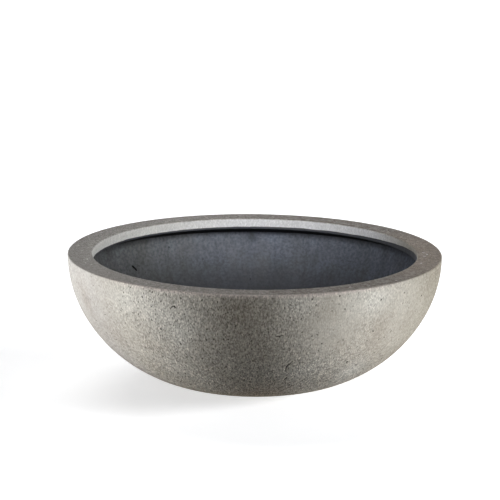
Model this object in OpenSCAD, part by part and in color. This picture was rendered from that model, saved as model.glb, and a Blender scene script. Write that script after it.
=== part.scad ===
// Bowl planter in fibre-reinforced concrete, laid up in a mould in layers. The rim is turned
// in flat and then down as a lip, so the wall behind the lip is an open undercut.
// Millimetres, +Z up. The origin is on the floor, under the middle of the bowl.

/* [Bowl] */
// Outer diameter across the rim
rim_d = 800; // [720:1:1000]
// Height of the concrete bowl, from its flat base to the rim
bowl_h = 280; // [265:1:320]
// How much of the bowl's round bottom the flat base takes off
base_cut = 2; // [1:0.5:6]
// Radius of the upper part of the wall, which meets the rim upright
shoulder_r = 255; // [200:1:260]
// How far below the rim the upper part gives way to the flatter lower part
shoulder_drop = 120; // [60:1:160]

/* [Rim] */
// Width of the flat top of the rim
rim_w = 52.5; // [35:0.5:80]
// Height of the lip that is turned down inside the rim
lip_h = 21.5; // [16:0.5:60]
// Height of the painted band at the lip's foot, where the face coat stops
lip_band = 4; // [2:0.5:8]
// Rounding of the rim's two top edges
arris_r = 2.5; // [0.5:0.1:2.8]

/* [Layers] */
// Thickness of the concrete face coat
face_t = 3; // [3:0.1:6]
// Thickness of the fibre backing in the wall
wall_t = 9; // [6:0.5:20]
// Thickness of the fibre backing under the rim's flat top
rim_t = 9; // [5:0.5:10]
// Thickness of the fibre backing in the lip
lip_t = 6; // [4:0.5:12]
// Thickness of the fibre backing in the floor
floor_t = 15; // [9:0.5:30]
// Thickness of the waterproof lining
lining_t = 1.5; // [0.8:0.1:1.8]

/* [Drain] */
// Diameter of the drain hole
drain_d = 24; // [16:0.5:40]
// Radial clearance between the plug's stem and the hole
stem_gap = 0.3; // [0.2:0.05:0.8]
// Height of the plug's head over the lining at rest
seat_gap = 0.2; // [0.1:0.05:0.5]
// How far the plug's head reaches past the edge of the hole
head_lap = 7; // [4:0.5:14]
// Thickness of the plug's head
head_t = 4; // [3:0.5:8]
// Diameter of the ball by which the plug is pulled
ball_d = 12; // [8:0.5:15]
// Length of the neck between the plug's head and the ball
neck_h = 3; // [2:0.5:8]
// How far the plug's tip stays above the underside of the base
tip_rise = 1.5; // [0.5:0.5:4]
// Number of sealing ribs round the stem
ribs = 3; // [2:1:4]
// Height of each sealing rib off the stem
rib_h = 1; // [0.6:0.1:1.6]

/* [Feet] */
// Number of foot pads
pads = 4; // [3:1:8]
// Diameter of a foot pad
pad_d = 32; // [20:1:50]
// Thickness of a foot pad
pad_t = 3; // [2:0.5:8]
// Distance from a foot pad to the edge of the flat base
pad_edge = 12; // [5:1:30]
// Chamfer round the foot of a pad
pad_chamfer = 0.8; // [0.3:0.1:1.5]

/* [Hidden] */
$fn = 180;

rim_r = rim_d / 2;
lip_r = rim_r - rim_w;
drain_r = drain_d / 2;
base_z = pad_t;
rim_z = base_z + bowl_h;
// longer than anything here, for cuts that run right through
reach = rim_d + bowl_h;
// how far a cut runs past the face that it opens
past = 1;

// The wall is two arcs that meet smoothly where the direction from both their centres is turn.
// The lower one's radius is such that its lowest point lies base_cut under the flat base.
upper_c = [rim_r - shoulder_r, rim_z];
turn = [sqrt(1 - pow(shoulder_drop / shoulder_r, 2)), -shoulder_drop / shoulder_r];
flatter = (bowl_h + base_cut - shoulder_r) / (1 + turn.y);
// how much steeper than turn the cut runs that ends the upper arc, past where the two meet
run_on = 1.2;
lower_r = shoulder_r + flatter;
lower_c = upper_c - flatter * turn;
base_r = lower_c.x + sqrt(pow(lower_r, 2) - pow(lower_r - base_cut, 2));

// The face coat's back, the backing's back and the lining's back, as insets from the outside
backing_in = face_t;
lining_in = backing_in + wall_t;
soil_in = lining_in + lining_t;
// and the floor's levels
backing_z = base_z + face_t;
lining_z = backing_z + floor_t;
soil_z = lining_z + lining_t;

// Half section of everything inside the wall, inset from its outer face, above a floor level
module bowl_form(inset, floor_z) {
    intersection() {
        union() {
            // the upper arc, which runs on a little inside the lower one so that they overlap
            intersection() {
                translate(upper_c) circle(r = shoulder_r - inset);
                polygon([upper_c, upper_c + [reach, 0],
                    upper_c + reach * [turn.x, run_on * turn.y]]);
            }
            // the lower arc, from where the two meet
            intersection() {
                translate(lower_c) circle(r = lower_r - inset);
                polygon([[0, rim_z], upper_c, upper_c + reach * turn, [0, rim_z - reach]]);
            }
            // the middle of the floor, where the lower arc would rise again
            square([max(lower_c.x, drain_r), rim_z]);
        }
        translate([0, floor_z]) square([reach, rim_z - floor_z]);
    }
}

// Half section of the space inside one layer: all of the bowl below the lip's foot, and the
// undercut between the lip's back and the wall, up to the underside of the rim
module space_within(inset, floor_z, lip_foot, lip_back, rim_under) {
    intersection() {
        bowl_form(inset, floor_z);
        union() {
            square([reach, rim_z - lip_foot]);
            translate([lip_back, 0]) square([reach, rim_z - rim_under]);
        }
    }
}

module space_in_face() {
    space_within(backing_in, backing_z, lip_h - lip_band, lip_r + face_t, face_t);
}

module space_in_backing() {
    space_within(lining_in, lining_z, lip_h - lining_t, lip_r + face_t + lip_t, face_t + rim_t);
}

module space_in_lining() {
    space_within(soil_in, soil_z, lip_h, lip_r + face_t + lip_t + lining_t,
        face_t + rim_t + lining_t);
}

// Half section of the round mouth between the lip's faces, down to a depth below the rim
module mouth(radius, depth) {
    translate([0, rim_z - depth]) square([radius, depth + past]);
}

// Half section of the drain hole, cut through every layer of the floor
module drain() {
    square([drain_r, rim_z]);
}

// What rounding takes off a top edge of the rim: the corner outside an arc.
// side is 1 at the rim's outer edge and -1 at the lip's.
module arris(x, side) {
    size = arris_r + past;
    translate([x - side * arris_r, rim_z - arris_r])
        difference() {
            translate([side > 0 ? 0 : -size, 0]) square([size, size]);
            circle(r = arris_r);
        }
}

// Concrete face: the outside of the wall, the rim's flat top and the front of the lip
module face_coat() {
    color("#a8a49c") rotate_extrude()
        difference() {
            bowl_form(0, base_z);
            space_in_face();
            mouth(lip_r, lip_h - lip_band);
            drain();
            arris(rim_r, 1);
            arris(lip_r, -1);
        }
}

// Fibre-reinforced backing, laid up behind the face while it is still in the mould
module fibre_backing() {
    color("#7e7b74") rotate_extrude()
        difference() {
            space_in_face();
            space_in_backing();
            mouth(lip_r + lining_t, lip_h - lining_t);
            drain();
        }
}

// Waterproof lining, brushed over the whole inside and round the lip's foot
module lining_coat() {
    color("#3c3e42") rotate_extrude()
        difference() {
            union() {
                space_in_backing();
                translate([lip_r, rim_z - lip_h]) square([lining_t, lip_band]);
            }
            space_in_lining();
            mouth(lip_r, lip_h);
            drain();
        }
}

// Rubber plug: a stem with sealing ribs, a head that seats on the lining, and a ball to pull
module drain_plug() {
    stem_r = drain_r - stem_gap;
    core_r = stem_r - rib_h;
    head_r = drain_r + head_lap;
    tip_z = base_z + tip_rise;
    head_z = soil_z + seat_gap;
    stem_h = head_z - tip_z;
    pitch = stem_h / (ribs + 1);
    ball_z = head_z + head_t + neck_h + ball_d / 2;
    color("#232325") rotate_extrude($fn = 96) {
        // stem, with a tapered lead at its tip
        polygon([[0, tip_z], [core_r - 2 * rib_h, tip_z], [core_r, tip_z + pitch / 2],
            [core_r, head_z + head_t / 2], [0, head_z + head_t / 2]]);
        for (i = [1:ribs])
            translate([0, tip_z + i * pitch])
                polygon([[0, -2 * rib_h], [core_r, -2 * rib_h], [stem_r, 0], [core_r, rib_h],
                    [0, rib_h]]);
        // head, with a round edge
        translate([0, head_z]) square([head_r - head_t / 2, head_t]);
        translate([head_r - head_t / 2, head_z + head_t / 2]) circle(d = head_t);
        // neck and ball
        translate([0, head_z + head_t / 2]) square([ball_d / 4, ball_z - head_z - head_t / 2]);
        intersection() {
            translate([0, ball_z]) circle(d = ball_d);
            translate([0, head_z]) square([ball_d, reach]);
        }
    }
}

// Rubber pads stuck under the flat base, which leave room for water to run out of the drain
module foot_pads() {
    circle_r = base_r - pad_edge - pad_d / 2;
    color("#2b2b2c")
        for (i = [0:pads - 1])
            rotate([0, 0, (i + 0.5) * 360 / pads])
                translate([circle_r, 0, 0])
                    rotate_extrude($fn = 64)
                        polygon([[0, 0], [pad_d / 2 - pad_chamfer, 0],
                            [pad_d / 2, pad_chamfer], [pad_d / 2, pad_t], [0, pad_t]]);
}

face_coat();
fibre_backing();
lining_coat();
drain_plug();
foot_pads();
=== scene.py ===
import bisect
import collections
import functools
import math
import random

import bpy
import numpy as np
from mathutils import Matrix, Vector, noise
from mathutils.bvhtree import BVHTree
from mathutils.geometry import delaunay_2d_cdt


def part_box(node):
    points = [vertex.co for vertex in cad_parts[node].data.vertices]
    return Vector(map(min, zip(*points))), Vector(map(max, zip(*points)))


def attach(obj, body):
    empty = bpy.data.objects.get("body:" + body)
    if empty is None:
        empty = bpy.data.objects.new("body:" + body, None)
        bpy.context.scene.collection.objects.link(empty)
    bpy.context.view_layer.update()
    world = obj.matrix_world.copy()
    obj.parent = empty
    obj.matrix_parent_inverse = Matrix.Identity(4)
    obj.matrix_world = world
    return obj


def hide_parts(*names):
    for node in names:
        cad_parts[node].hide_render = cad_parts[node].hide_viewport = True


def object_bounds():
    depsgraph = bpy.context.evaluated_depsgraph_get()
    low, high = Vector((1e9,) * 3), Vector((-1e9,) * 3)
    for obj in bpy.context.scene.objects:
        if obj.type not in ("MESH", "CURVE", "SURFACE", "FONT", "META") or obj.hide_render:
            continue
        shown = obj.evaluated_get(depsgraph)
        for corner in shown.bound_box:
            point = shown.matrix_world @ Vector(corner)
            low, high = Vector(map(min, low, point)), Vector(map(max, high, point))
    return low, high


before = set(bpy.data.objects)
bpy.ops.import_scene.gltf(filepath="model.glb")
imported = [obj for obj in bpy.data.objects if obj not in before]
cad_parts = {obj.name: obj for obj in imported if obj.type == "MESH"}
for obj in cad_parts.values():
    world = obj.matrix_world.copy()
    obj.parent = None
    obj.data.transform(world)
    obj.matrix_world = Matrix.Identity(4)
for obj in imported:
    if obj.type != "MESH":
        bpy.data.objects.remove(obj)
cad_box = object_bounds()

# ---- The view ----------------------------------------------------------------------------------
# The bowl was photographed from well back through a long lens, from a little above its rim. The
# camera is set first, because the pits, cracks and scratches that stand out in the photograph
# are placed by looking through it onto the bowl.
PHOTO_SIDE = 500  # pixels
SENSOR_MM = 36
FOCAL_PX = 2990
EYE_DISTANCE = 6.4  # metres from the middle of the rim
EYE_ELEVATION = math.radians(12.59)
EYE_ROLL = math.radians(0.57)
RIM_MIDDLE_PX = (254.75, 252.2)

rim_r, rim_z = cad_box[1].x, cad_box[1].z
back = Vector((0, -math.cos(EYE_ELEVATION), math.sin(EYE_ELEVATION)))
right = Vector((1, 0, 0))
untilted = Matrix((right, back.cross(right), back)).transposed()
yaw, pitch = (math.atan((px - PHOTO_SIDE / 2) / FOCAL_PX) for px in RIM_MIDDLE_PX)
eye = Matrix.Translation(Vector((0, 0, rim_z)) + back * EYE_DISTANCE) @ untilted.to_4x4()
eye = eye @ Matrix.Rotation(EYE_ROLL, 4, "Z") @ Matrix.Rotation(yaw, 4, "Y")
eye = eye @ Matrix.Rotation(pitch, 4, "X")

camera = bpy.data.objects.new("camera", bpy.data.cameras.new("camera"))
camera.data.sensor_width = SENSOR_MM
camera.data.lens = FOCAL_PX / PHOTO_SIDE * SENSOR_MM
camera.matrix_world = eye
bpy.context.scene.collection.objects.link(camera)
bpy.context.scene.camera = camera


@functools.cache
def cad_surface(node):
    """A CAD node's mesh, as lines of sight find it."""
    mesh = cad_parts[node].data
    return BVHTree.FromPolygons([v.co for v in mesh.vertices], [p.vertices for p in mesh.polygons])


def seen_at(px, py, node):
    """Where the line of sight through a pixel of the photograph meets a CAD node."""
    ray = Vector(((px - PHOTO_SIDE / 2) / FOCAL_PX, (PHOTO_SIDE / 2 - py) / FOCAL_PX, -1))
    return cad_surface(node).ray_cast(eye.translation, (eye.to_3x3() @ ray).normalized())[0]


# ---- The concrete face -------------------------------------------------------------------------
# The first coat that goes into the mould: 3 mm of fine grey concrete over the outside of the
# wall, the flat top of the rim and the front of the lip. Air that was trapped against the mould
# left open pits and a dense stipple, and shrinkage left a few short cracks.
SHOULDER_R, SHOULDER_DROP, BASE_CUT = 0.255, 0.120, 0.002
RIM_W, LIP_H, LIP_BAND, ARRIS_R = 0.0525, 0.0215, 0.004, 0.0025
FACE_T, WALL_T, RIM_T, LIP_T, FLOOR_T, LINING_T = 0.003, 0.009, 0.009, 0.006, 0.015, 0.0015
DRAIN_R = 0.012
FACE_COLUMNS, FACE_ROW = 352, 0.0068
ARC_STEP = 0.0005  # between the points that measure an arc
ROUNDING = 0.005  # a shorter stretch of a section rounds an edge, and gets four rows at least

base_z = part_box("face_coat")[0].z
lip_r = rim_r - RIM_W
tilt_low = -math.asin(SHOULDER_DROP / SHOULDER_R)
flatter = (rim_z - base_z + BASE_CUT - SHOULDER_R) / (1 + math.sin(tilt_low))
upper_c = np.array((rim_r - SHOULDER_R, rim_z))
lower_c = upper_c - flatter * np.array((math.cos(tilt_low), math.sin(tilt_low)))
lining_in = FACE_T + WALL_T
soil_in = lining_in + LINING_T
lining_z = base_z + FACE_T + FLOOR_T
soil_z = lining_z + LINING_T


def arc(centre, radius, start, end):
    """Points along an arc in the bowl's half section, between two angles in radians."""
    count = max(2, math.ceil(abs(end - start) * radius / ARC_STEP))
    angles = np.linspace(start, end, count + 1)
    return centre + radius * np.column_stack((np.cos(angles), np.sin(angles)))


def wall(inset, low, high):
    """The wall's two arcs in the half section, inset from the outer face, between two levels."""
    lower, upper = SHOULDER_R + flatter - inset, SHOULDER_R - inset
    start = math.asin((low - lower_c[1]) / lower)
    end = math.asin((high - upper_c[1]) / upper)
    return [arc(lower_c, lower, start, tilt_low), arc(upper_c, upper, tilt_low, end)]


class Section:
    """The show side of a turned layer: a run of stretches, in order, in the half section."""

    def __init__(self, stretches, row):
        self.points = np.vstack([stretches[0]] + [s[1:] for s in stretches[1:]])
        steps = np.linalg.norm(np.diff(self.points, axis=0), axis=1)
        self.along = np.concatenate(([0], np.cumsum(steps)))
        heading = np.gradient(self.points, self.along, axis=0)
        heading /= np.linalg.norm(heading, axis=1)[:, None]
        self.out = np.column_stack((heading[:, 1], -heading[:, 0]))
        ends = np.cumsum([0] + [len(s) - 1 for s in stretches])
        self.ends = self.along[ends]
        self.stations = [0.0]
        for a, b in zip(self.ends[:-1], self.ends[1:]):
            rows = max(4 if b - a < ROUNDING else 1, round((b - a) / row))
            self.stations += list(np.linspace(a, b, rows + 1)[1:])

    def at(self, along):
        """Radius and level at a place along the section, and the way out of the layer there."""
        return [np.interp(along, self.along, c) for c in (*self.points.T, *self.out.T)]

    def nearest(self, spot):
        """The (turn, along) of a point in space: turn from the back, clockwise from above."""
        reach = self.points - (math.hypot(spot.x, spot.y), spot.z)
        nearest = self.along[np.argmin((reach ** 2).sum(1))]
        return math.atan2(spot.x, spot.y) % math.tau, nearest


Mark = collections.namedtuple("Mark", "turn along outline foot depth shade", defaults=(1.0,))
EDGE = 0.0002  # the flat band round a mark, which keeps its edge crisp
LEAST_R = 0.02  # the smallest circle round the bowl's axis that a mark's width is taken on


def inside(x, y, outline):
    """Whether a point lies inside a closed outline."""
    odd = False
    for (xa, ya), (xb, yb) in zip(outline, outline[1:] + outline[:1]):
        if (ya > y) != (yb > y) and x < xa + (y - ya) / (yb - ya) * (xb - xa):
            odd = not odd
    return odd


class Skin:
    """A turned layer as one closed mesh, whose show side can have marks sunk in it."""

    def __init__(self, section, columns, place, deepest):
        self.section, self.columns, self.place = section, columns, place
        self.deepest = deepest
        self.stations = section.stations
        self.spots, self.faces, self.blocks = [], [], []
        for along in self.stations:
            for i in range(columns):
                self.spot(i * math.tau / columns, along)

    def spot(self, turn, along, lift=0.0, hollow=0.0):
        """Keeps a vertex and gives its number."""
        self.spots.append((turn, along, lift, hollow))
        return len(self.spots) - 1

    def corner(self, i, j):
        """The vertex where a column of cells and a row of them begin."""
        return j * self.columns + i % self.columns

    def cells_under(self, mark):
        """The block of cells that a mark needs: first and last column, first and last row."""
        r = max(float(self.section.at(mark.along)[0]), LEAST_R)
        turns = [mark.turn + x / r for x, _ in mark.outline]
        alongs = [mark.along + y for _, y in mark.outline]
        pad, per = 3 * EDGE, self.columns / math.tau
        return [math.floor((min(turns) - pad / r) * per), math.floor((max(turns) + pad / r) * per),
                bisect.bisect_right(self.stations, min(alongs) - pad) - 1,
                bisect.bisect_left(self.stations, max(alongs) + pad) - 1]

    def sink(self, mark, crowd=False):
        """Gives a mark its cells. Where others have them, it joins these if it may crowd."""
        i0, i1, j0, j1 = self.cells_under(mark)
        if i0 < 0 or i1 >= self.columns or j0 < 0 or j1 >= len(self.stations) - 1:
            return False
        marks = [mark]
        met = True
        while met:
            met = [b for b in self.blocks
                   if b[0] <= i1 and i0 <= b[1] and b[2] <= j1 and j0 <= b[3]]
            if met and not crowd:
                return False
            for b in met:
                self.blocks.remove(b)
                i0, i1, j0, j1 = min(i0, b[0]), max(i1, b[1]), min(j0, b[2]), max(j1, b[3])
                marks += b[4]
        self.blocks.append((i0, i1, j0, j1, marks))
        return True

    def patch(self, i0, i1, j0, j1, marks):
        """Fills a block of cells round its marks, and fills each mark down to its foot."""
        r = float(self.section.at(self.stations[(j0 + j1 + 1) // 2])[0])
        turn0, along0 = i0 * math.tau / self.columns, self.stations[j0]
        ring = [(i, j0) for i in range(i0, i1 + 1)] + [(i1 + 1, j) for j in range(j0, j1 + 1)]
        ring += [(i, j1 + 1) for i in range(i1 + 1, i0, -1)]
        ring += [(i0, j) for j in range(j1 + 1, j0, -1)]
        flat = [((i - i0) * math.tau / self.columns * r, self.stations[j] - along0)
                for i, j in ring]
        ids = [self.corner(i, j) for i, j in ring]
        edges = [(k, (k + 1) % len(ring)) for k in range(len(ring))]
        brims = []
        for mark in marks:
            at = ((mark.turn - turn0) * r, mark.along - along0)
            brim = []
            for (x, y), (fx, fy) in zip(mark.outline, mark.foot):
                grow = 1 + EDGE / max(math.hypot(x - fx, y - fy), EDGE)
                brim.append((fx + (x - fx) * grow, fy + (y - fy) * grow))
            first = len(flat)
            flat += [(at[0] + x, at[1] + y) for x, y in brim]
            edges += [(first + k, first + (k + 1) % len(brim)) for k in range(len(brim))]
            brims.append(flat[first:])
            ids += self.fill(mark, brim, r)
        for i in range(i0 + 1, i1 + 1):
            for j in range(j0 + 1, j1 + 1):
                x, y = (i - i0) * math.tau / self.columns * r, self.stations[j] - along0
                gap = min(math.hypot(x - bx, y - by) for brim in brims for bx, by in brim)
                if gap > 2 * EDGE and not any(inside(x, y, brim) for brim in brims):
                    flat.append((x, y))
                    ids.append(self.corner(i, j))
        points, _, faces, origin, _, _ = delaunay_2d_cdt([Vector(p) for p in flat], edges, [],
                                                         0, 1e-9)
        for face in faces:
            x, y = (sum(points[k][axis] for k in face) / len(face) for axis in (0, 1))
            if not any(inside(x, y, brim) for brim in brims):
                self.faces.append([ids[origin[k][0]] for k in face])

    def fill(self, mark, brim, r):
        """The faces inside a mark's brim, down its side to its foot. Gives the brim's vertices."""
        depth = min(mark.depth, self.deepest)

        def ring(share, level):
            """The mark's outline drawn in towards its foot, at a share of its depth."""
            return [self.spot(mark.turn + (x + (fx - x) * share) / r,
                              mark.along + y + (fy - y) * share, -level * depth, mark.shade)
                    for (x, y), (fx, fy) in zip(mark.outline, mark.foot)]

        rings = [[self.spot(mark.turn + x / r, mark.along + y) for x, y in brim],
                 ring(0.0, 0.05), ring(0.2, 0.7)]
        count = len(brim)
        for upper, lower in zip(rings, rings[1:]):
            self.faces += [(upper[k], upper[(k + 1) % count], lower[(k + 1) % count], lower[k])
                           for k in range(count)]
        feet = {}
        for foot in mark.foot:
            if foot not in feet:
                feet[foot] = self.spot(mark.turn + foot[0] / r, mark.along + foot[1],
                                       -depth, mark.shade)
        for k in range(count):
            a, b = mark.foot[k], mark.foot[(k + 1) % count]
            face = [rings[-1][k], rings[-1][(k + 1) % count], feet[b], feet[a]]
            self.faces.append(face[:3] if a == b else face)
        return rings[0]

    def build(self, name, hidden):
        """Makes the object. hidden is the half section's points that close it out of sight."""
        taken = {(i, j) for i0, i1, j0, j1, _ in self.blocks
                 for i in range(i0, i1 + 1) for j in range(j0, j1 + 1)}
        rows = len(self.stations)
        for j in range(rows - 1):
            for i in range(self.columns):
                if (i, j) not in taken:
                    self.faces.append((self.corner(i, j), self.corner(i + 1, j),
                                       self.corner(i + 1, j + 1), self.corner(i, j + 1)))
        for block in self.blocks:
            self.patch(*block)
        points = [self.place(turn, along, lift) for turn, along, lift, _ in self.spots]
        last = [self.corner(i, rows - 1) for i in range(self.columns)]
        for r, z in hidden:
            row = range(len(points), len(points) + self.columns)
            points += [Vector((r * math.sin(t), r * math.cos(t), z))
                       for t in (i * math.tau / self.columns for i in range(self.columns))]
            self.join(last, row)
            last = list(row)
        self.join(last, [self.corner(i, 0) for i in range(self.columns)])
        mesh = bpy.data.meshes.new(name)
        mesh.from_pydata(points, [], self.faces)
        mesh.polygons.foreach_set("use_smooth", [True] * len(mesh.polygons))
        mesh.set_sharp_from_angle(angle=math.radians(45))
        made = bpy.data.objects.new(name, mesh)
        bpy.context.scene.collection.objects.link(made)
        self.note(mesh, "hollow", [s[3] for s in self.spots])
        return made

    def join(self, row, following):
        """The faces between two rings of vertices that each go once round the bowl."""
        count = self.columns
        self.faces += [(row[i], row[(i + 1) % count], following[(i + 1) % count], following[i])
                       for i in range(count)]

    def note(self, mesh, name, values, kind="FLOAT"):
        """Keeps a value for each vertex, for the material to read. The hidden side has none."""
        attribute = mesh.attributes.new(name, kind, "POINT")
        width = 3 if kind == "FLOAT_VECTOR" else 1
        data = np.zeros((len(mesh.vertices), width), np.float32)
        data[:len(values)] = np.reshape(values, (-1, width))
        attribute.data.foreach_set("vector" if width == 3 else "value", data.ravel())


SMALL_PIT = 0.0034  # a smaller one is round enough with eight sides


def pit(turn, along, width, height, draw):
    """The open half of an air bubble, a little out of round and out of upright."""
    sides = 8 if max(width, height) < SMALL_PIT else 12
    two, three, tilt = draw.uniform(0, 6.28), draw.uniform(0, 6.28), draw.gauss(0, 0.3)
    outline = []
    for k in range(sides):
        a = math.tau * k / sides
        reach = 0.5 + 0.08 * math.sin(2 * a + two) + 0.05 * math.sin(3 * a + three)
        x, y = width * reach * math.cos(a), height * reach * math.sin(a)
        outline.append((x * math.cos(tilt) - y * math.sin(tilt),
                        x * math.sin(tilt) + y * math.cos(tilt)))
    return Mark(turn, along, outline, [(0.0, 0.0)] * sides, 0.5 * min(width, height))


def crack(line, width, r, draw):
    """A short crack along (turn, along) points, widest in the middle, closed at both ends."""
    turn, along = line[0]
    steps = 4
    path = []
    for (ta, sa), (tb, sb) in zip(line, line[1:]):
        for k in range(steps):
            share = k / steps
            stray = draw.gauss(0, 0.13 * min(width, 0.002)) if path else 0.0
            path.append(((ta + (tb - ta) * share - turn) * r + stray,
                         sa + (sb - sa) * share - along + stray))
    path.append(((line[-1][0] - turn) * r, line[-1][1] - along))
    sides = [[], []]
    for k in range(1, len(path) - 1):
        dx, dy = path[k + 1][0] - path[k - 1][0], path[k + 1][1] - path[k - 1][1]
        size = math.hypot(dx, dy)
        half = 0.5 * width * math.sin(math.pi * k / (len(path) - 1)) ** 0.5
        half *= draw.uniform(0.75, 1.15)
        for side, sign in zip(sides, (1, -1)):
            side.append((path[k][0] - sign * dy / size * half,
                         path[k][1] + sign * dx / size * half))
    middle = path[1:-1]
    outline = [path[0]] + sides[1] + [path[-1]] + sides[0][::-1]
    foot = [middle[0]] + middle + [middle[-1]] + middle[::-1]
    return Mark(turn, along, outline, foot, 0.8 * width)


face_section = Section(
    wall(0, base_z, rim_z - ARRIS_R)
    + [arc((rim_r - ARRIS_R, rim_z - ARRIS_R), ARRIS_R, 0, math.pi / 2),
       np.linspace((rim_r - ARRIS_R, rim_z), (lip_r + ARRIS_R, rim_z), 90),
       arc((lip_r + ARRIS_R, rim_z - ARRIS_R), ARRIS_R, math.pi / 2, math.pi),
       np.linspace((lip_r, rim_z - ARRIS_R), (lip_r, rim_z - LIP_H + LINING_T), 40)],
    FACE_ROW)
wall_top, rim_start, rim_end, lip_start = face_section.ends[2:6]
WAVE, RIPPLE = 0.00032, 0.00012  # how far the face strays over a hand's width, and a finger's
TRUE_FOOT = 0.02  # how far up from its foot the wall is truer


def uneven(point):
    """How far the mould and the hand that filled it left the face from true, in metres."""
    share = min(1.0, max(0.0, (point.z - base_z) / TRUE_FOOT))
    return share * (WAVE * noise.noise(point * 8) + RIPPLE * noise.noise(point * 38))


def on_face(turn, along, lift):
    """Where a place on the face's section, lifted off it by some metres, lies in space."""
    r, z, out_r, out_z = face_section.at(along)
    lift += uneven(Vector((r * math.sin(turn), r * math.cos(turn), z)))
    r, z = r + out_r * lift, z + out_z * lift
    return Vector((r * math.sin(turn), r * math.cos(turn), z))


# pits that stand out in the photograph: pixel, width and height in millimetres
PHOTO_PITS = [
    (122, 309, 3, 5), (133, 313, 5, 3), (138, 308, 4, 3), (161, 301, 4, 4), (161, 329, 5, 4),
    (152, 320, 3, 7), (176, 321, 3, 6), (181, 344, 4, 6), (207, 329, 5, 4), (186, 374, 4, 6),
    (160, 378, 5, 5), (115, 346, 5, 4), (163, 356, 4, 4), (338, 342, 4, 3), (343, 340, 3, 5),
    (391, 331, 3, 7), (373, 331, 4, 5), (347, 362, 4, 8), (356, 365, 3, 6), (336, 377, 3, 7),
    (319, 385, 4, 5), (339, 304, 3, 4), (345, 309, 4, 4), (316, 305, 3, 5), (332, 311, 3, 4),
    (318, 317, 3, 4), (290, 305, 4, 5), (300, 310, 3, 5), (391, 353, 4, 4), (409, 303, 3, 3),
    (409, 335, 3, 3), (367, 368, 4, 4), (262, 325, 4, 4), (196, 349, 3, 5), (107, 307, 3, 3),
    (149, 299, 3, 4), (181, 298, 4, 4), (179, 334, 3, 3), (196, 322, 4, 3), (107, 328, 3, 4),
    (120, 328, 3, 3), (146, 337, 3, 3), (127, 317, 3, 3), (203, 323, 3, 3), (181, 310, 3, 3),
    (332, 301, 3, 4), (310, 310, 3, 3), (353, 306, 4, 3), (362, 326, 3, 3), (400, 327, 3, 3),
    (394, 333, 3, 3), (313, 340, 4, 3), (310, 342, 4, 3), (323, 338, 3, 3), (149, 343, 3, 3),
    (154, 346, 3, 3), (177, 352, 4, 4), (187, 357, 4, 4), (202, 341, 4, 3), (213, 363, 4, 4),
    (182, 380, 4, 3), (179, 360, 3, 3), (223, 375, 4, 3), (348, 368, 3, 4), (322, 368, 4, 3),
    (309, 346, 3, 3), (353, 354, 3, 3), (358, 350, 3, 3), (322, 354, 3, 3), (328, 370, 4, 3),
    (317, 380, 4, 4), (169, 333, 3, 2.5), (165, 331, 3, 2.5),
]
# cracks and worm-like pits that stand out there: pixels along each, and width in millimetres
PHOTO_CRACKS = [
    ([(170.5, 309), (171.5, 307), (174, 306.2), (176.5, 308)], 2.0),
    ([(274.5, 336.3), (279, 336.4), (284, 335.2)], 2.6),
    ([(280.5, 349), (285.5, 349.8)], 2.0),
    ([(293.2, 360.4), (289.8, 363.7), (286.8, 366.5), (285.4, 371.5)], 2.7),
    ([(287.4, 376.8), (284, 379.8)], 3.6),
]
# pale chips in the rim's top: pixel, length round the rim and width across it in millimetres
PHOTO_CHIPS = [
    (87.2, 259.1, 12, 3.5), (85.5, 262.8, 8, 3), (84.2, 259.6, 7, 2.5), (78.3, 245.2, 9, 3),
    (91.5, 264.5, 6, 3), (82.0, 250.5, 9, 2.5), (423.9, 252.8, 11, 3.5), (424.4, 256.2, 5, 7),
    (427.2, 254.4, 10, 3), (421.4, 263.2, 8, 3), (396.0, 280.3, 4, 4), (350.0, 287.0, 4, 4),
]
CHIP_DEPTH = 0.0003
SEEN_WIDER = 0.0010  # what the photograph's blur adds to a mark
STRAY_PITS, STRAY_CRACKS, RIM_PITS = 1850, 30, 140  # how many more there are, all round
LEAST_PIT, PIT_RANGE, PIT_SPREAD = 0.0011, 0.0018, 0.0006  # most are near the least width

# parts of the wall that came out of the mould smooth: pixel, and reach in metres
SMOOTH_PX = [(90, 290, 0.26), (405, 310, 0.23), (340, 321, 0.11)]
SMOOTH_CORE = 0.05  # the middle of such a part, which is smooth throughout
smooth_spots = [(seen_at(px, py, "face_coat"), reach) for px, py, reach in SMOOTH_PX]
# clouds in the wall's tone, partly its own and partly painted light and shade: pixel, reach
# in metres, and how much paler or darker the middle is
CLOUDS_AND_PAINTED_LIGHT_PX = [
    (241, 312, 0.100, -0.14), (246, 343, 0.080, -0.13), (86, 300, 0.060, -0.17),
    (116, 337, 0.080, -0.13), (130, 297, 0.080, 0.14), (160, 309, 0.060, 0.10),
    (368, 297, 0.090, 0.13), (383, 325, 0.065, -0.15), (402, 324, 0.050, -0.07),
    (340, 346, 0.060, -0.08), (188, 372, 0.080, 0.20), (312, 372, 0.090, 0.24),
    (181, 332, 0.060, 0.15), (300, 303, 0.060, 0.14), (360, 322, 0.045, -0.10),
    (263, 394, 0.120, -0.40), (350, 372, 0.065, 0.26), (150, 345, 0.055, -0.10),
    (374, 347, 0.050, -0.10), (180, 346, 0.045, 0.10), (203, 346, 0.045, -0.10),
    (140, 322, 0.050, -0.09), (120, 300, 0.045, 0.08), (395, 344, 0.040, 0.10),
    (380, 301, 0.050, 0.08),
]
cloud_and_painted_light_spots = [(seen_at(px, py, "face_coat"), reach, gain) for px, py, reach, gain in CLOUDS_AND_PAINTED_LIGHT_PX]


def smooth_at(point):
    """How smooth the wall is at a point, from 0 to 1."""
    return max(min(1.0, max(0.0, (reach - (point - spot).length) / (reach - SMOOTH_CORE)))
               for spot, reach in smooth_spots)


def tone_at(point, spots):
    """What placed clouds, painted light and painted shade multiply a surface's tone by at a point.
    """
    tone = 1.0
    for spot, reach, gain in spots:
        near = max(0.0, 1 - (point - spot).length / reach)
        tone *= 1 + gain * near * near * (3 - 2 * near)
    return tone


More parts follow.
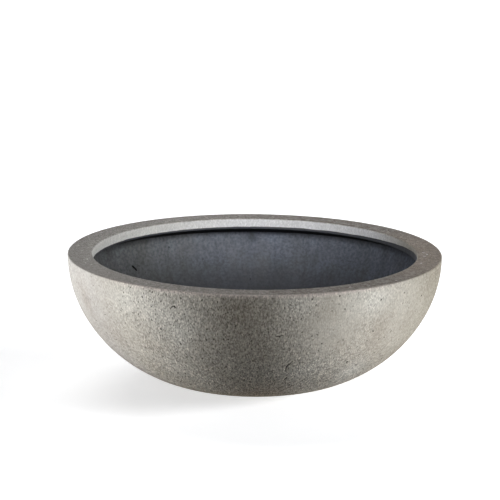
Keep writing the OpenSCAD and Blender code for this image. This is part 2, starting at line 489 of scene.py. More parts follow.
draw = random.Random(7)
face = Skin(face_section, FACE_COLUMNS, on_face, 0.85 * FACE_T)
for pixels, width in PHOTO_CRACKS:
    line = [face_section.nearest(seen_at(*px, "face_coat")) for px in pixels]
    r = float(face_section.at(line[0][1])[0])
    face.sink(crack(line, width / 1000, r, draw), crowd=True)
for px, py, width, height in PHOTO_PITS:
    turn, along = face_section.nearest(seen_at(px, py, "face_coat"))
    width, height = width / 1000 - SEEN_WIDER, height / 1000 - SEEN_WIDER
    face.sink(pit(turn, along, width, height, draw), crowd=True)
for px, py, length, width in PHOTO_CHIPS:
    turn, along = face_section.nearest(seen_at(px, py, "face_coat"))
    chip = pit(turn, along, length / 1000, width / 1000, draw)
    face.sink(chip._replace(depth=CHIP_DEPTH, shade=-1.0), crowd=True)
for _ in range(STRAY_CRACKS):
    turn, along = draw.uniform(0.1, 6.1), draw.uniform(0.05, wall_top - 0.03)
    r, heading = float(face_section.at(along)[0]), draw.uniform(0, math.pi)
    length, bend = draw.uniform(0.007, 0.02), draw.gauss(0, 0.4)
    line = [(turn, along)]
    for k in range(2):
        turn += length / 2 * math.cos(heading + k * bend) / r
        along += length / 2 * math.sin(heading + k * bend)
        line.append((turn, along))
    if along < wall_top - 0.01:
        face.sink(crack(line, draw.uniform(0.0007, 0.0013), r, draw))
sunk = 0
while sunk < STRAY_PITS:
    turn, along = draw.uniform(0, math.tau), draw.uniform(0.002, wall_top - 0.004)
    r, z, upright, _ = face_section.at(along)
    spot = Vector((r * math.sin(turn), r * math.cos(turn), z))
    crowding = 0.6 + 1.1 * noise.noise(spot * 11) + 0.6 * noise.noise(spot * 40)
    crowding *= 1 - 0.8 * smooth_at(spot)
    if draw.random() * rim_r < r * upright and draw.random() < crowding:
        width = LEAST_PIT + min(PIT_RANGE, draw.expovariate(1 / PIT_SPREAD))
        sunk += face.sink(pit(turn, along, width, width * draw.uniform(1.0, 1.9), draw))
for _ in range(RIM_PITS):
    along = draw.uniform(rim_start + 0.003, rim_end - 0.003)
    width = draw.uniform(0.0012, 0.0024)
    face.sink(pit(draw.uniform(0, math.tau), along, width, width, draw))

# the face runs on behind the lining's lap on the lip, set back a little less than its thickness
foot_z, band_z = rim_z - LIP_H + LINING_T, rim_z - LIP_H + LIP_BAND
behind_lap = lip_r + LINING_T - 0.0001
inner_wall = np.vstack(wall(FACE_T, base_z + FACE_T, rim_z - FACE_T))[::-40]
face_piece = face.build("concrete_face", [
    (behind_lap, foot_z), (behind_lap, band_z), (lip_r + FACE_T, band_z),
    (lip_r + FACE_T, rim_z - FACE_T), *inner_wall, (DRAIN_R, base_z + FACE_T), (DRAIN_R, base_z)])
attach(face_piece, "bowl")
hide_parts("face_coat")


def fade(value, start, end):
    """0 before start, 1 past end, and even in between."""
    return np.clip((value - start) / (end - start), 0, 1)


# The rim's top and the lip were struck off and rubbed down, and the wall is as the mould left
# it. The lip fades into the rim's tone at the +X end, as painted shade, and the outer arris has
# a painted highlight along the front.
face_along = np.array([s[1] for s in face.spots])
on_rim = fade(face_along, rim_start - 0.003, rim_start) * fade(-face_along, -lip_start, -rim_end)
on_lip = fade(face_along, rim_end + 0.001, lip_start)
towards_right = np.array([math.sin(s[0]) for s in face.spots])
# the lip fades into the rim's tone at the +X end: painted shade
lip_fading_into_painted_shade = on_lip * (1 - 0.85 * fade(towards_right, 0.74, 0.97))
# a painted highlight along the outer arris at the front
arris_painted_highlight = 1 - fade(abs(face_along - (wall_top + rim_start) / 2), 0.002, 0.005)
arris_painted_highlight *= fade(-np.array([math.cos(s[0]) for s in face.spots]), 0.6, 0.9)
smoothness = fade(face_along, wall_top - 0.005, wall_top)
smoothness *= 0.12 + 0.18 * fade(towards_right, -0.5, 0.5)
smooth = [smooth_at(v.co) for v in face_piece.data.vertices][:len(face_along)]
smoothness = np.maximum(smoothness, 0.8 * np.array(smooth))
smoothness = np.maximum(smoothness, 0.92 * on_lip)
face.note(face_piece.data, "rim", on_rim)
face.note(face_piece.data, "lip", lip_fading_into_painted_shade)
face.note(face_piece.data, "arris", arris_painted_highlight)
face.note(face_piece.data, "towards_minus_x", [0.5 - 0.5 * math.sin(s[0]) for s in face.spots])
face.note(face_piece.data, "smoothness", smoothness)
# the placed clouds, partly painted light and shade
tone_and_painted_light = [tone_at(v.co, cloud_and_painted_light_spots) for v in face_piece.data.vertices]
face.note(face_piece.data, "tone_and_painted_light", tone_and_painted_light[:len(face_along)])
# the grain is as tall low down on the wall, where it turns under, as it is higher up
UNROLLED = 0.35  # how far the grain still follows the wall inwards
grain_place = []
for turn, along, _, _ in face.spots:
    r, z = face_section.at(along)[:2]
    if along < wall_top:
        r = rim_r - UNROLLED * (rim_r - r)
    grain_place.append((r * math.sin(turn), r * math.cos(turn), z))
face.note(face_piece.data, "grain_place", grain_place, "FLOAT_VECTOR")


def linear(colour):
    """An sRGB hex colour as the linear colour that Blender's sockets take."""
    parts = [int(colour[i:i + 2], 16) / 255 for i in (1, 3, 5)]
    return [*(c / 12.92 if c <= 0.04045 else ((c + 0.055) / 1.055) ** 2.4 for c in parts), 1.0]


def add(tree, kind, inputs=(), **settings):
    """Adds a node. inputs gives its sockets, in order or by name or number, a value, the socket
    that feeds it, or a node whose first output does."""
    made = tree.nodes.new("ShaderNode" + kind)
    for name, value in settings.items():
        setattr(made, name, value)
    for name, value in inputs.items() if isinstance(inputs, dict) else enumerate(inputs):
        if isinstance(value, bpy.types.Node):
            value = next(out for out in value.outputs if out.enabled)
        if isinstance(value, bpy.types.NodeSocket):
            tree.links.new(value, made.inputs[name])
        else:
            made.inputs[name].default_value = value
    return made


def material(name):
    """A new material, and the empty node tree that it is drawn in."""
    made = bpy.data.materials.new(name)
    made.use_nodes = True
    made.node_tree.nodes.clear()
    return made, made.node_tree


# In the trees below, a MapRange takes a value, the range that it comes from and the range that
# it goes to, and stays within that. A Mix lays a colour over another or multiplies it by one.
OVERLAY = {"data_type": "RGBA", "blend_type": "MIX"}
MULTIPLY = {"data_type": "RGBA", "blend_type": "MULTIPLY"}
SHARE, UNDER, OVER = 0, 6, 7  # the sockets of a Mix of colours

# Cast fibre concrete as the mould left it. To the eye it is matt and warm grey, clouded over a
# hand's width and stippled all over with light and dark grains a little taller than wide. The
# grains are drawn 2 to 3 mm wide, coarser than the sand is, because finer ones would not show.
# The wall is a little warmer at its +X end and low down, cooler at the other end, and browner
# and darker at its foot; its placed clouds are partly painted light and shade. The rim's top is
# browner still and blotched, bleached towards -X, with pale specks and chips, and partly as
# painted shade darker than the wall. The lip is nearly white, partly as painted light. Pits,
# cracks and pinholes are painted dark inside as painted shade.
CLOUD, MOTTLE, STIPPLE, SAND, PINHOLE = 0.09, 0.009, 0.0029, 0.0021, 0.0045  # metres
WALL_LIGHT, WALL_DARK = linear("#b5b2aa"), linear("#aaa69d")
WARM_STAIN, COOL_STAIN = linear("#f3f0e9"), linear("#f6f7fd")
LOW_WARM, FOOT_DARK = linear("#fffcf9"), linear("#e2dfd4")
# the rim's colours are darker than the wall's partly as painted shade
RIM_LIGHT, RIM_BROWN, RIM_SPECK = linear("#847f79"), linear("#675f57"), linear("#bab8b5")
RIM_BLEACHED, RIM_WARM, ARRIS_HIGHLIGHT = linear("#aeaba7"), linear("#988b7e"), linear("#c6bcb6")
# the lip is paler than the wall partly as painted light
LIP_PALE, LIP_WARM = linear("#d8d8da"), linear("#fffef7")
# dark inside the pits and pinholes: painted shade
PIT_PAINTED_SHADE, CHIP_PALE = linear("#2e2b28"), linear("#dedcd8")

concrete, tree = material("cast_fibre_concrete_mould_face")
object_space = add(tree, "TexCoord").outputs["Object"]
level = add(tree, "SeparateXYZ", [object_space]).outputs["Z"]
rim_share, lip_share_with_painted_shade, arris_highlight_share, towards_minus_x, hollow, calm, painted_light_and_cloud_gain = (
    add(tree, "Attribute", attribute_name=name).outputs["Fac"]
    for name in ("rim", "lip", "arris", "towards_minus_x", "hollow", "smoothness", "tone_and_painted_light"))
cloud = add(tree, "TexNoise", {"Vector": object_space, "Scale": 1 / CLOUD, "Detail": 4.0})
mottle = add(tree, "TexNoise", {"Vector": object_space, "Scale": 1 / MOTTLE, "Detail": 3.0,
                                "Roughness": 0.6})
grain_place = add(tree, "Attribute", attribute_name="grain_place").outputs["Vector"]
grain_space = add(tree, "Mapping", {"Vector": grain_place, "Scale": (1, 1, 0.55)})
stipple = add(tree, "TexNoise", {"Vector": grain_space, "Scale": 1 / STIPPLE, "Detail": 3.0,
                                 "Roughness": 0.75})
sand = add(tree, "TexVoronoi", {"Vector": grain_space, "Scale": 1 / SAND})
sand_seed = add(tree, "SeparateColor", [sand.outputs["Color"]]).outputs[0]
pores = add(tree, "TexVoronoi", {"Vector": grain_space, "Scale": 1 / PINHOLE})
pore_seed = add(tree, "SeparateColor", [pores.outputs["Color"]]).outputs


def dots(seed, rarest, widest):
    """Dots in the cells whose seed is over rarest, wider as the seed nears 1."""
    size = add(tree, "MapRange", [seed, rarest, 1.0, 0.0, widest])
    within = add(tree, "Math", [size, pores.outputs["Distance"]], operation="SUBTRACT")
    return add(tree, "MapRange", [within, 0.0, 0.1, 0.0, 1.0])


pinhole = dots(pore_seed[0], 0.3, 0.36)
speck = dots(pore_seed[1], 0.6, 0.3)

# the wall, whose darker clouds are browner, and whose paler ones are bluer; the placed clouds
# are partly painted light and shade
paler = add(tree, "MapRange", [cloud, 0.35, 0.65, 0, 1])
tone = add(tree, "Mix", {SHARE: paler, UNDER: WALL_DARK, OVER: WALL_LIGHT}, **OVERLAY)
flecked = add(tree, "MapRange", [mottle, 0.3, 0.7, 0.92, 1.06])
painted_light_and_cloud_tint = add(tree, "VectorMath", [painted_light_and_cloud_gain, (1, 1.15, 1.3), (0, -0.15, -0.3)],
                 operation="MULTIPLY_ADD")
for gain in (flecked, painted_light_and_cloud_tint):
    tone = add(tree, "Mix", {SHARE: 1.0, UNDER: tone, OVER: gain}, **MULTIPLY)
for stain, *reach in (
        (WARM_STAIN, towards_minus_x, 0.02, 0.15, 1, 0), (COOL_STAIN, towards_minus_x, 0.84, 0.93, 0, 1),
        (LOW_WARM, level, 0.08, 0.20, 1, 0.2), (FOOT_DARK, level, 0.018, 0.048, 1, 0)):
    share = add(tree, "MapRange", reach)
    tone = add(tree, "Mix", {SHARE: share, UNDER: tone, OVER: stain}, **MULTIPLY)

# the rim's top, from its blotches up to its specks, partly as painted shade darker than the wall
blotched = add(tree, "MapRange", [mottle, 0.38, 0.62, 0, 1])
bleached = add(tree, "MapRange", [towards_minus_x, 0.4, 1, 0, 0.6])
warmed = add(tree, "MapRange", [towards_minus_x, 0.02, 0.12, 0.5, 0])
rim_tone = RIM_LIGHT
for share, colour in ((blotched, RIM_BROWN), (bleached, RIM_BLEACHED), (warmed, RIM_WARM),
                      (speck, RIM_SPECK)):
    rim_tone = add(tree, "Mix", {SHARE: share, UNDER: rim_tone, OVER: colour}, **OVERLAY)

# the lip, with painted light towards -X, where it is also warmer
lit_lip = add(tree, "MapRange", [towards_minus_x, 0.79, 0.93, 1.0, 1.18])
lip_tone = add(tree, "Mix", {SHARE: 1.0, UNDER: LIP_PALE, OVER: lit_lip}, **MULTIPLY)
warmed = add(tree, "MapRange", [towards_minus_x, 0.55, 0.85, 0, 1])
lip_tone = add(tree, "Mix", {SHARE: warmed, UNDER: lip_tone, OVER: LIP_WARM}, **MULTIPLY)

# the painted highlight on the outer arris at the front
painted_highlight = add(tree, "MapRange", [arris_highlight_share, 0, 1, 0, 0.75])
for share, colour in ((rim_share, rim_tone), (painted_highlight, ARRIS_HIGHLIGHT), (lip_share_with_painted_shade, lip_tone)):
    tone = add(tree, "Mix", {SHARE: share, UNDER: tone, OVER: colour}, **OVERLAY)

# light and dark grains, which are stronger low down and weaker where the face is smooth
stippled = add(tree, "MapRange", [stipple, 0.4, 0.6, 0.74, 1.26])
sanded = add(tree, "MapRange", [sand_seed, 0, 1, 0.68, 1.32])
grained = add(tree, "Math", [stippled, sanded], operation="MULTIPLY")
coarseness = add(tree, "MapRange", [level, 0.05, 0.16, 1.68, 1.11])
grained = add(tree, "Math", [grained, coarseness], operation="POWER")
rough_share = add(tree, "MapRange", [calm, 0, 1, 1.0, 0.2])
tone = add(tree, "Mix", {SHARE: rough_share, UNDER: tone, OVER: grained}, **MULTIPLY)

# pinholes, which come in clouds, and the sunk pits, cracks and chips: pinholes, pits and
# cracks are painted dark inside as painted shade, and chips pale
open_share = add(tree, "MapRange", [calm, 0, 1, 0.8, 0.15])
crowded = add(tree, "MapRange", [cloud, 0.4, 0.6, 0.5, 1.0])
pinholed = add(tree, "Math", [pinhole, open_share], operation="MULTIPLY")
pinholed = add(tree, "Math", [pinholed, crowded], operation="MULTIPLY")
pitted = add(tree, "MapRange", [hollow, 0, 1, 0, 0.76])
chipped = add(tree, "MapRange", [hollow, 0, -1, 0, 0.7])
for share, colour in ((pinholed, PIT_PAINTED_SHADE), (pitted, PIT_PAINTED_SHADE), (chipped, CHIP_PALE)):
    tone = add(tree, "Mix", {SHARE: share, UNDER: tone, OVER: colour}, **OVERLAY)

relief = add(tree, "Math", [sand.outputs["Distance"], 0.45, stipple], operation="MULTIPLY_ADD")
relief = add(tree, "Math", [relief, pinhole], operation="SUBTRACT")
relief = add(tree, "Math", [relief, rough_share], operation="MULTIPLY")
surface = add(tree, "BsdfPrincipled", {
    "Base Color": tone,
    "Roughness": add(tree, "MapRange", [mottle, 0.3, 0.7, 0.82, 0.95]),
    "Specular IOR Level": add(tree, "MapRange", [hollow, 0, 1, 0.1, 0.0]),
    "Normal": add(tree, "Bump", {"Height": relief, "Strength": 1.0, "Distance": 0.0008})})
add(tree, "OutputMaterial", [surface])
face_piece.data.materials.append(concrete)

# ---- The fibre backing -------------------------------------------------------------------------
# Concrete with chopped glass fibre, laid up by hand behind the face and rolled down. It carries
# the bowl and is covered all over, so its CAD solid stays as it is, with its own rough finish.
BACKING_GREY, BACKING_DARK, FIBRE = linear("#85827b"), linear("#6b6862"), linear("#b4b1a8")
FIBRE_L, LUMP = 0.012, 0.02  # metres

# Glass-fibre concrete as the roller left it: to the eye dull, darker grey and lumpy, with pale
# strands of fibre that lie every way.
backing, tree = material("glass_fibre_concrete_rolled_by_hand")
object_space = add(tree, "TexCoord").outputs["Object"]
lumps = add(tree, "TexNoise", {"Vector": object_space, "Scale": 1 / LUMP, "Detail": 5.0,
                               "Distortion": 0.6})
strands = add(tree, "TexNoise", {"Vector": object_space, "Scale": 1 / FIBRE_L, "Detail": 2.0,
                                 "Distortion": 9.0})
strand = add(tree, "MapRange", [strands, 0.60, 0.64, 0, 0.8])
tone = add(tree, "Mix", {SHARE: lumps, UNDER: BACKING_DARK, OVER: BACKING_GREY}, **OVERLAY)
tone = add(tree, "Mix", {SHARE: strand, UNDER: tone, OVER: FIBRE}, **OVERLAY)
surface = add(tree, "BsdfPrincipled", {
    "Base Color": tone, "Roughness": 0.95, "Specular IOR Level": 0.2,
    "Normal": add(tree, "Bump", {"Height": lumps, "Strength": 1.0, "Distance": 0.002})})
add(tree, "OutputMaterial", [surface])
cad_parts["fibre_backing"].data.materials.clear()
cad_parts["fibre_backing"].data.materials.append(backing)

# ---- The lining --------------------------------------------------------------------------------
# A dark waterproof coating, brushed up and down over the whole inside, up behind the lip, round
# its foot and a few millimetres up its front, where the brush left an uneven edge.
LINING_COLUMNS, LINING_ROW = 512, 0.0072
LAP_T, LAP_LEAST, LAP_LOW, LAP_RISE, LAP_RUN = 0.0003, 0.0004, 0.0019, 0.0024, 0.0090
LAP_STRAYS = [(0.0008, 9), (0.0005, 34), (0.00025, 120)]  # how far its edge strays, how often
BEAD = 0.002  # how far the coating hangs from the lip's foot, where it ran together
LAP_ROUND, HEEL_ROUND, CORNER, FLOOR_BLEND = 0.0008, 0.0015, 0.003, 0.030  # its roundings

foot_low = rim_z - LIP_H - BEAD
lip_back = lip_r + FACE_T + LIP_T + LINING_T
rim_under = rim_z - FACE_T - RIM_T - LINING_T
lower_in, upper_in = wall(soil_in, soil_z, rim_under - CORNER)
wall_foot = lower_in[0]
foot_points = int(FLOOR_BLEND / ARC_STEP)
floor_edge, blend_to = np.array((wall_foot[0] - FLOOR_BLEND, soil_z)), lower_in[foot_points]
blend = [(1 - t) ** 2 * floor_edge + 2 * t * (1 - t) * wall_foot + t ** 2 * blend_to
         for t in np.linspace(0, 1, 90)]
under_corner = upper_in[-1]
lap_face, heel_low = lip_r - LAP_T, foot_low + HEEL_ROUND
lining_section = Section([
    np.linspace((lap_face, foot_low + LIP_BAND), (lap_face, foot_low + LAP_ROUND), 12),
    arc(np.array((lap_face + LAP_ROUND, foot_low + LAP_ROUND)), LAP_ROUND, math.pi, 1.5 * math.pi),
    np.linspace((lap_face + LAP_ROUND, foot_low), (lip_back - HEEL_ROUND, foot_low), 14),
    arc(np.array((lip_back - HEEL_ROUND, heel_low)), HEEL_ROUND, 1.5 * math.pi, math.tau),
    np.linspace((lip_back, heel_low), (lip_back, rim_under), 14),
    np.linspace((lip_back, rim_under), (under_corner[0] - CORNER, rim_under), 50),
    np.linspace((under_corner[0] - CORNER, rim_under), under_corner, 12),
    upper_in[::-1],
    lower_in[foot_points:][::-1],
    np.array(blend)[::-1],
    np.linspace(floor_edge, (DRAIN_R + LAP_ROUND, soil_z), 250),
    np.linspace((DRAIN_R + LAP_ROUND, soil_z), (DRAIN_R, soil_z - LAP_ROUND), 5)],
    LINING_ROW)
lap_foot, wall_start = lining_section.ends[1], lining_section.ends[7]


def lap(turn):
    """How far the coating runs up the lip's front, which the brush left higher on one side."""
    around = Vector((math.sin(turn), math.cos(turn), 0))
    edge = LAP_LOW + LAP_RISE * (0.5 + 0.5 * around.x) + LAP_RUN * math.exp(8.4 * (around.x - 1))
    for far, often in LAP_STRAYS:
        edge += far * noise.noise(around * often)
    return BEAD + max(LAP_LEAST, edge)


def brushed(turn, along, r):
    """How thick the brush left the coating in its up and down strokes, in metres."""
    around = Vector((math.sin(turn), math.cos(turn), 0))
    broad = noise.noise(around * 16 + Vector((0, 0, along * 6)))
    fine = noise.noise(around * 55 + Vector((0, 0, along * 11)))
    clear_of_drain = float(fade(r, 0.03, 0.07))
    return clear_of_drain * (0.00022 * broad + 0.00013 * fine)


def on_lining(turn, along, lift):
    """Where a place on the lining's section, lifted off it by some metres, lies in space."""
    r, z, out_r, out_z = lining_section.at(along)
    if along < lap_foot:
        z = foot_low + LAP_ROUND + (lap(turn) - LAP_ROUND) * (1 - along / lap_foot)
    elif along > wall_start:
        lift += brushed(turn, along, r)
    r, z = r + out_r * lift, z + out_z * lift
    return Vector((r * math.sin(turn), r * math.cos(turn), z))


# marks on the inside that stand out in the photograph: pixels along a scratch, nicks' pixels and
# widths in millimetres, and a smudge's pixel
SCRATCH_PX, SCRATCH_W = [(131.8, 265.6), (134.5, 268), (137.2, 271)], 0.0056
NICKS_PX = [(169, 247, 3.0), (203, 259, 2.4), (207.5, 232, 2.6)]
SMUDGE_PX = (252, 237)
STRAY_NICKS = 60
# painted sheen and shade on the coating: pixel, reach in metres, and gain
PAINTED_SHEEN_PX = [(255, 272, 0.110, -0.26), (262, 243, 0.050, 0.10), (350, 274, 0.060, -0.10)]

draw = random.Random(11)
lining = Skin(lining_section, LINING_COLUMNS, on_lining, 0.75 * LINING_T)
line = [lining_section.nearest(seen_at(*px, "lining_coat")) for px in SCRATCH_PX]
lining.sink(crack(line, SCRATCH_W, float(lining_section.at(line[0][1])[0]), draw))
for px, py, width in NICKS_PX:
    turn, along = lining_section.nearest(seen_at(px, py, "lining_coat"))
    lining.sink(pit(turn, along, width / 1000, width / 1000, draw))
for _ in range(STRAY_NICKS):
    along = draw.uniform(wall_start + 0.01, lining_section.ends[-2] - 0.06)
    width = draw.uniform(0.0009, 0.0018)
    lining.sink(pit(draw.uniform(0, math.tau), along, width, width * 1.3, draw))

back_wall = np.vstack(wall(lining_in, lining_z, rim_z - FACE_T - RIM_T))[::60]
lining_piece = lining.build("waterproof_lining", [
    (DRAIN_R, lining_z), *back_wall, (lip_back - LINING_T, rim_z - FACE_T - RIM_T),
    (lip_back - LINING_T, foot_z), (lip_r, foot_z)])
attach(lining_piece, "bowl")
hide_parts("lining_coat")
strokes = [(math.sin(s[0]), math.cos(s[0]), s[1]) for s in lining.spots]
lining.note(lining_piece.data, "stroke", strokes, "FLOAT_VECTOR")
lining_along = np.array([s[1] for s in lining.spots])
lining.note(lining_piece.data, "lap", 1 - fade(lining_along, lap_foot, lap_foot + 0.0005))
smudge_spot = seen_at(*SMUDGE_PX, "lining_coat")
gaps = np.array([(v.co - smudge_spot).length for v in lining_piece.data.vertices])
lining.note(lining_piece.data, "smudge", (1 - fade(gaps, 0.004, 0.018))[:len(lining.spots)])
painted_sheen_spots = [(seen_at(px, py, "lining_coat"), reach, gain) for px, py, reach, gain in PAINTED_SHEEN_PX]
tone_and_painted_light = [tone_at(v.co, painted_sheen_spots) for v in lining_piece.data.vertices]
lining.note(lining_piece.data, "tone_and_painted_light", tone_and_painted_light[:len(lining.spots)])

# Bitumen-rubber coating as the brush left it. To the eye it is near black, satin and grainy, and
# bluish but for its -X end. Fine lines run up and down, with duller patches between the strokes.
# It is painted darker low down and lighter high up, as painted shade and painted light, with a
# painted shadow just under the lip and painted sheen and shade in places. It is darker towards
# +X and paler on the lap. The bristle lines and the grain are drawn 6 mm wide, coarser than they
# are, because finer ones don't show.
COAT_DARK, COAT_LIGHT, COAT_NEUTRAL = linear("#43464c"), linear("#555a66"), linear("#fff8e4")
# near black in the scratch and nicks: painted shade
COAT_DULL, COAT_LAP, SCRATCH_PAINTED_SHADE = linear("#2b2d30"), linear("#4a4b4f"), linear("#060606")
BRISTLE, STROKE_W, STROKE_L, GRAIN, BLOTCH = 0.006, 0.03, 0.16, 0.006, 0.035  # metres
INSIDE_R = 0.33  # the strokes go round a circle of radius 1, which stands for this one

coating, tree = material("bitumen_rubber_coating_brushed")
object_space = add(tree, "TexCoord").outputs["Object"]
level = add(tree, "SeparateXYZ", [object_space]).outputs["Z"]
stroke = add(tree, "Attribute", attribute_name="stroke").outputs["Vector"]
towards_x = add(tree, "SeparateXYZ", [stroke]).outputs["X"]
hollow, smudge, lap_share, painted_sheen = (
    add(tree, "Attribute", attribute_name=name).outputs["Fac"]
    for name in ("hollow", "smudge", "lap", "tone_and_painted_light"))
fine_space = add(tree, "Mapping", {"Vector": stroke, "Scale": (
    INSIDE_R / BRISTLE, INSIDE_R / BRISTLE, 2 / STROKE_L)})
broad_space = add(tree, "Mapping", {"Vector": stroke, "Scale": (
    INSIDE_R / STROKE_W, INSIDE_R / STROKE_W, 1 / STROKE_L)})
bristles = add(tree, "TexNoise", {"Vector": fine_space, "Scale": 1.0, "Detail": 2.0})
sweeps = add(tree, "TexNoise", {"Vector": broad_space, "Scale": 1.0, "Detail": 3.0})
grain = add(tree, "TexNoise", {"Vector": object_space, "Scale": 1 / GRAIN, "Detail": 2.0,
                               "Roughness": 0.6})
blotch = add(tree, "TexNoise", {"Vector": object_space, "Scale": 1 / BLOTCH, "Detail": 3.0,
                                "Roughness": 0.6})

cover = add(tree, "Math", [sweeps, blotch], operation="ADD")
covered = add(tree, "MapRange", [cover, 0.64, 1.36, 0, 1])
tone = add(tree, "Mix", {SHARE: covered, UNDER: COAT_DARK, OVER: COAT_LIGHT}, **OVERLAY)
# painted light high on the inside and painted shade low down
painted_light_by_height = add(tree, "MapRange", [level, 0.10, 0.235, 0, 1])
painted_light_by_height = add(tree, "Math", [painted_light_by_height, 1.6], operation="POWER")
# the bristle lines, the grain, the painted light and shade by height, a painted shadow just under
# the lip, and darker towards +X
for reach in ([bristles, 0.3, 0.7, 0.92, 1.07], [grain, 0.36, 0.64, 0.76, 1.25],
              [painted_light_by_height, 0, 1, 0.17, 1.64], [level, 0.233, 0.249, 1.0, 0.33],
              [towards_x, -0.3, 0.9, 1.06, 0.74]):
    gain = add(tree, "MapRange", reach)
    tone = add(tree, "Mix", {SHARE: 1.0, UNDER: tone, OVER: gain}, **MULTIPLY)
# the painted sheen and shade in places
tone = add(tree, "Mix", {SHARE: 1.0, UNDER: tone, OVER: painted_sheen}, **MULTIPLY)
neutral = add(tree, "MapRange", [towards_x, -0.15, -0.7, 0, 1])
tone = add(tree, "Mix", {SHARE: neutral, UNDER: tone, OVER: COAT_NEUTRAL}, **MULTIPLY)
# the scratch and nicks are painted near black inside as painted shade; the smudge and the lap are
# the coating's own
for mark, most, colour in ((hollow, 0.95, SCRATCH_PAINTED_SHADE), (smudge, 0.75, COAT_DULL),
                           (lap_share, 0.9, COAT_LAP)):
    share = add(tree, "MapRange", [mark, 0, 1, 0, most])
    tone = add(tree, "Mix", {SHARE: share, UNDER: tone, OVER: colour}, **OVERLAY)

height = add(tree, "Math", [bristles, grain], operation="ADD")
surface = add(tree, "BsdfPrincipled", {
    "Base Color": tone,
    "Roughness": add(tree, "MapRange", [sweeps, 0.35, 0.65, 0.42, 0.56]),
    "Specular IOR Level": add(tree, "MapRange", [hollow, 0, 1, 0.25, 0.0]),
    "Normal": add(tree, "Bump", {"Height": height, "Strength": 0.7, "Distance": 0.0007})})
add(tree, "OutputMaterial", [surface])
lining_piece.data.materials.append(coating)

# ---- The drain plug ----------------------------------------------------------------------------
# One moulding of black rubber: a ribbed stem in the drain hole, a head that lies on the lining
# and a ball to pull it by. Its CAD solid has the right shape and gets its finish here.
RUBBER, RUBBER_WORN = linear("#262628"), linear("#37373a")
RUBBER_GRAIN, BLOOM = 0.0008, 0.012  # metres

# Moulded rubber, with the fine grain of the mould: to the eye black and half matt, with a greyer
# bloom in patches. The grain is drawn 0.8 mm wide, coarser than it is, so that it shows.
rubber, tree = material("moulded_epdm_rubber")
object_space = add(tree, "TexCoord").outputs["Object"]
grain = add(tree, "TexNoise", {"Vector": object_space, "Scale": 1 / RUBBER_GRAIN, "Detail": 2.0})
bloom = add(tree, "TexNoise", {"Vector": object_space, "Scale": 1 / BLOOM, "Detail": 4.0})
bloomed = add(tree, "MapRange", [bloom, 0.45, 0.7, 0, 0.8])
surface = add(tree, "BsdfPrincipled", {
    "Base Color": add(tree, "Mix", {SHARE: bloomed, UNDER: RUBBER, OVER: RUBBER_WORN}, **OVERLAY),
    "Roughness": add(tree, "MapRange", [bloom, 0.3, 0.7, 0.5, 0.7]),
    "Normal": add(tree, "Bump", {"Height": grain, "Strength": 0.3, "Distance": 0.0002})})
add(tree, "OutputMaterial", [surface])
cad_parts["drain_plug"].data.materials.clear()
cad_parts["drain_plug"].data.materials.append(rubber)

# ---- The foot pads -----------------------------------------------------------------------------
# Four discs punched from a sheet of cellular rubber and stuck under the base, so that the bowl
# doesn't scratch a floor and water can run out of the drain.
PAD_BLACK, PAD_GREY = linear("#2c2c2d"), linear("#3e3e40")
CELL = 0.0015  # metres

# Cellular rubber sheet, cut through its cells: to the eye dull black, with greyer cell walls.
pad_rubber, tree = material("cellular_rubber_sheet_punched")
object_space = add(tree, "TexCoord").outputs["Object"]
cells = add(tree, "TexVoronoi", {"Vector": object_space, "Scale": 1 / CELL})
surface = add(tree, "BsdfPrincipled", {
    "Base Color": add(tree, "Mix", {SHARE: cells, UNDER: PAD_BLACK, OVER: PAD_GREY}, **OVERLAY),
    "Roughness": 0.85,
    "Normal": add(tree, "Bump", {"Height": cells, "Strength": 0.4, "Distance": 0.0004})})
add(tree, "OutputMaterial", [surface])
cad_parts["foot_pads"].data.materials.clear()
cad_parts["foot_pads"].data.materials.append(pad_rubber)

# ---- The studio --------------------------------------------------------------------------------
# A white floor that keeps the bowl's soft shadow, and white all round. Soft boxes stand low at
# both sides and behind, and only a weak one lights the front, which stays darker. A small box
# with a grid lights the inside of the back over the front rim.
FLOOR_SIDE = 20.0
FLOOR_PALE, FLOOR_BOUNCE, GLOW_COOL = linear("#e6e6e6"), linear("#181818"), linear("#fcfdff")
FLOOR_GLOW = 0.613
WHITE = (1, 1, 1, 1)

floor_mesh = bpy.data.meshes.new("floor")
half = FLOOR_SIDE / 2
floor_mesh.from_pydata([(-half, -half, 0), (half, -half, 0), (half, half, 0), (-half, half, 0)],
                       [], [(0, 1, 2, 3)])
floor = bpy.data.objects.new("floor", floor_mesh)
bpy.context.scene.collection.objects.link(floor)


def white_to_the_eye(tree):
    """1 for what the camera sees, straight or in a gloss or through glass, and 0 for light."""
    rays = add(tree, "LightPath").outputs
    either = add(tree, "Math", [rays["Is Camera Ray"], rays["Is Glossy Ray"]], operation="MAXIMUM")
    return add(tree, "Math", [either, rays["Is Transmission Ray"]], operation="MAXIMUM")


# Painted board: to the eye matt and white, with a glow of its own that leaves only the deepest
# part of the shadow. It throws little light back up at the bowl.
board, tree = material("painted_board")
shaded = add(tree, "BsdfDiffuse", {"Color": FLOOR_PALE})
glow = add(tree, "Emission", {"Color": GLOW_COOL, "Strength": FLOOR_GLOW})
seen = add(tree, "AddShader", [shaded, glow])
bounce = add(tree, "BsdfDiffuse", {"Color": FLOOR_BOUNCE})
add(tree, "OutputMaterial", [add(tree, "MixShader", [white_to_the_eye(tree), bounce, seen])])
floor_mesh.materials.append(board)

world = bpy.data.worlds.new("white_room")
bpy.context.scene.world = world
world.use_nodes = True
tree = world.node_tree
tree.nodes.clear()
sky = add(tree, "Background", {"Color": WHITE, "Strength": white_to_the_eye(tree)})
add(tree, "OutputWorld", [sky])

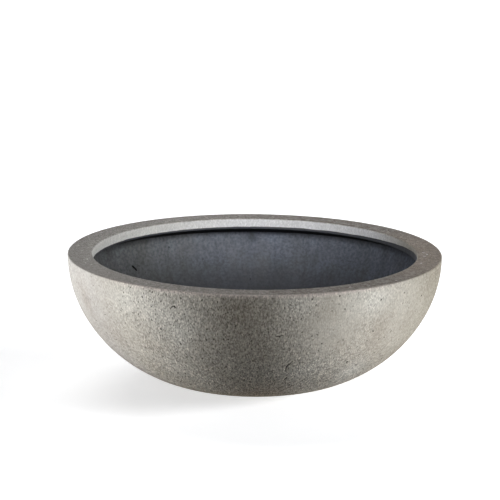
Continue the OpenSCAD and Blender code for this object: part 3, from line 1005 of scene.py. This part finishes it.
# name: place, aim, width and height in metres, power in watts, spread in degrees
LAMPS = {
    "soft_box_right": ((1.2, -0.6, 0.7), (0, 0, 0.2), 0.8, 0.8, 10.1, 180),
    "soft_box_left": ((-0.9, -0.5, 0.5), (0, 0, 0.2), 0.4, 0.4, 3.0, 180),
    "soft_box_low_left": ((-1.3, -0.3, 0.1), (0, 0, 0.2), 0.4, 0.4, 14.3, 180),
    "soft_box_over": ((0, -0.5, 1.0), (0, 0, 0.2), 1.2, 0.4, 1.2, 180),
    "soft_box_behind": ((0, 2.0, 0.6), (0, 0, 0.2), 1.0, 1.0, 33.9, 180),
    "card_right": ((0.5, -0.6, 0.012), (0.5, -0.6, 5.0), 0.5, 0.5, 2.7, 180),
    "card_left": ((-0.5, -0.6, 0.012), (-0.5, -0.6, 5.0), 0.5, 0.5, 0.6, 180),
    "grid_box_inside": ((0, -0.5, 0.7), (0, 0.36, 0.225), 0.5, 0.2, 0.47, 50),
}
# boxes under the floor, which doesn't block them: they light the wall where it turns under, in
# place of the light that a white floor throws up
MIRRORED_LAMPS = {
    "mirrored_box_right": ((0.8, 0.5, -0.6), (0, 0, 0.08), 0.5, 0.5, 10.8, 180),
    "mirrored_box_left": ((-1.0, 0, -0.8), (0, 0, 0.08), 0.5, 0.5, 4.3, 180),
}
# the lights that cast the shadow, and reach the floor only: height over the floor and turn from
# +X towards +Y in degrees, angle in degrees, and strength
FLOOR_SUNS = {
    "floor_light_right": (8.1, -1.6, 20.5, 9.4),
    "floor_light_behind": (51.4, 104.4, 42.4, 1.64),
}

only_floor = bpy.data.collections.new("lit_by_the_floor_lamp")
only_floor.objects.link(floor)
all_but_floor = bpy.data.collections.new("left_out_by_the_other_lamps")
all_but_floor.objects.link(floor)
all_but_floor.collection_objects[0].light_linking.link_state = "EXCLUDE"


def lamp(name, place, aim, width, height, power, spread_angle):
    """A soft box that lights all but the floor, and that the camera doesn't see."""
    light = bpy.data.lights.new(name, "AREA")
    light.shape, light.size, light.size_y, light.energy = "RECTANGLE", width, height, power
    light.spread = math.radians(spread_angle)
    made = bpy.data.objects.new(name, light)
    made.location = place
    made.rotation_euler = (Vector(place) - Vector(aim)).to_track_quat("Z", "Y").to_euler()
    made.visible_camera = False
    made.light_linking.receiver_collection = all_but_floor
    bpy.context.scene.collection.objects.link(made)
    return made


for name, values in LAMPS.items():
    lamp(name, *values)
for name, values in MIRRORED_LAMPS.items():
    lamp(name, *values).light_linking.blocker_collection = all_but_floor
for name, (height, turn, angle, strength) in FLOOR_SUNS.items():
    sun = bpy.data.lights.new(name, "SUN")
    sun.angle = math.radians(angle)
    sun.energy = strength
    made = bpy.data.objects.new(name, sun)
    made.rotation_euler = (0, math.radians(90 - height), math.radians(turn))
    made.light_linking.receiver_collection = only_floor
    bpy.context.scene.collection.objects.link(made)
bpy.context.scene.view_settings.view_transform = "Standard"
